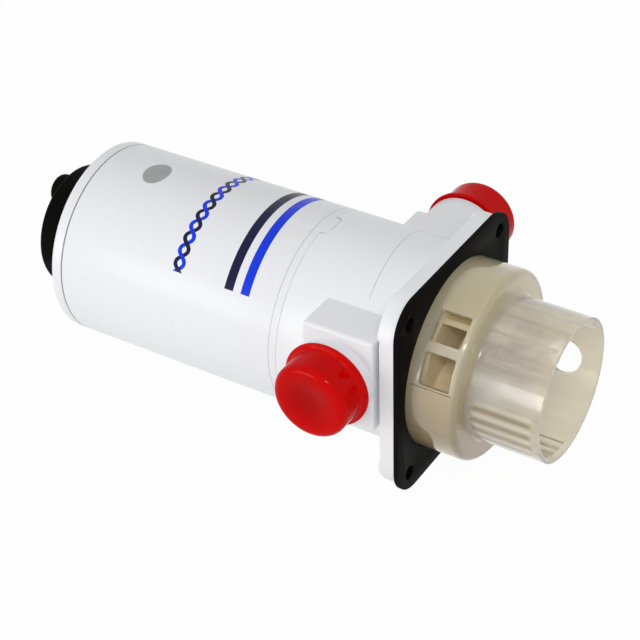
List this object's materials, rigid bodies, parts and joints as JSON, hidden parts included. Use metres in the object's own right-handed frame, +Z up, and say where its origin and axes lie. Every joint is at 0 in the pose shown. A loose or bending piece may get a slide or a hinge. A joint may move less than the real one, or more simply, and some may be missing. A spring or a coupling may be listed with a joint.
{
  "type": "electric toilet macerator and rinse pump unit",
  "caption": "Sleeved electric motor driving a rinse pump with capped side ports and a clear macerator housing behind a square mounting flange.",
  "frame": {"origin": "Middle of the bounding box in X and Y, at the level of the flange edge that the unit stands on.", "axes": "+X along the pump axis from the motor to the macerator housing, +Y towards the far port, +Z up."},
  "size_m": [0.249, 0.1476, 0.092],
  "materials": {
    "white_plastic": "glossy white moulded plastic",
    "red_plastic": "glossy red soft plastic",
    "black_rubber": "satin black rubber",
    "clear_amber_plastic": "clear plastic with an amber tint",
    "black_plastic": "matte black moulded plastic",
    "tan_plastic": "tan moulded plastic",
    "brown_board": "brown laminated board",
    "zinc_steel": "zinc plated steel",
    "bright_steel": "bright stainless steel",
    "core_steel": "stacked steel sheets",
    "cast_aluminium": "cast aluminium, as cast",
    "ferrite": "dark grey ceramic magnet",
    "copper": "enamelled copper",
    "carbon": "dull dark carbon"
  },
  "bodies": {
    "root": {"rear_boot": "black_rubber", "rear_cap": "white_plastic", "cap_screw_near": "zinc_steel", "cap_screw_far": "zinc_steel", "motor_sleeve": "white_plastic", "motor_can": "zinc_steel", "rear_end_bell": "cast_aluminium", "front_end_bell": "cast_aluminium", "rear_bearing": "bright_steel", "front_bearing": "bright_steel", "magnet_near": "ferrite", "magnet_far": "ferrite", "through_bolt_upper": "zinc_steel", "through_bolt_lower": "zinc_steel", "brush_holder_plate": "brown_board", "brush_spring_near": "zinc_steel", "brush_spring_far": "zinc_steel", "rear_shaft_seal": "black_rubber", "front_shaft_seal": "black_rubber", "pump_housing": "white_plastic", "pump_cam": "brown_board", "wear_plate": "bright_steel", "seal_plate": "black_plastic", "body_o_ring": "black_rubber", "flange_gasket": "black_rubber", "macerator_housing": "clear_amber_plastic", "chopper_plate": "bright_steel", "plate_screw_1": "bright_steel", "plate_screw_2": "bright_steel", "plate_screw_3": "bright_steel", "plate_screw_4": "bright_steel"},
    "rotor": {"motor_shaft": "bright_steel", "armature_core": "core_steel", "winding_rear": "copper", "winding_front": "copper", "commutator": "copper", "slinger": "black_rubber", "flexible_impeller": "black_rubber", "impeller_key": "bright_steel", "centrifugal_impeller": "tan_plastic", "impeller_pin": "bright_steel", "chopper_blade": "bright_steel", "lock_washer": "zinc_steel", "blade_nut": "zinc_steel"},
    "near_cap": {"port_cap_near": "red_plastic"},
    "far_cap": {"port_cap_far": "red_plastic"},
    "near_brush": {"brush_near": "carbon"},
    "far_brush": {"brush_far": "carbon"}
  },
  "joints": [
    {"name": "rotor_spin", "type": "hinge", "parent": "root", "child": "rotor", "pos_m": [0, -0.0059, 0.046], "axis": [1, 0, 0], "continuous": true},
    {"name": "near_cap_pull", "type": "slide", "parent": "root", "child": "near_cap", "axis": [0, -1, 0], "range_m": [0, 0.022]},
    {"name": "far_cap_pull", "type": "slide", "parent": "root", "child": "far_cap", "axis": [0, 1, 0], "range_m": [0, 0.022]},
    {"name": "near_brush_lift", "type": "slide", "parent": "root", "child": "near_brush", "axis": [0, -1, 0], "range_m": [0, 0.003], "stiffness_N_per_m": 60, "springref_m": -0.008, "deforming": ["brush_spring_near"]},
    {"name": "far_brush_lift", "type": "slide", "parent": "root", "child": "far_brush", "axis": [0, 1, 0], "range_m": [0, 0.003], "stiffness_N_per_m": 60, "springref_m": -0.008, "deforming": ["brush_spring_far"]}
  ]
}
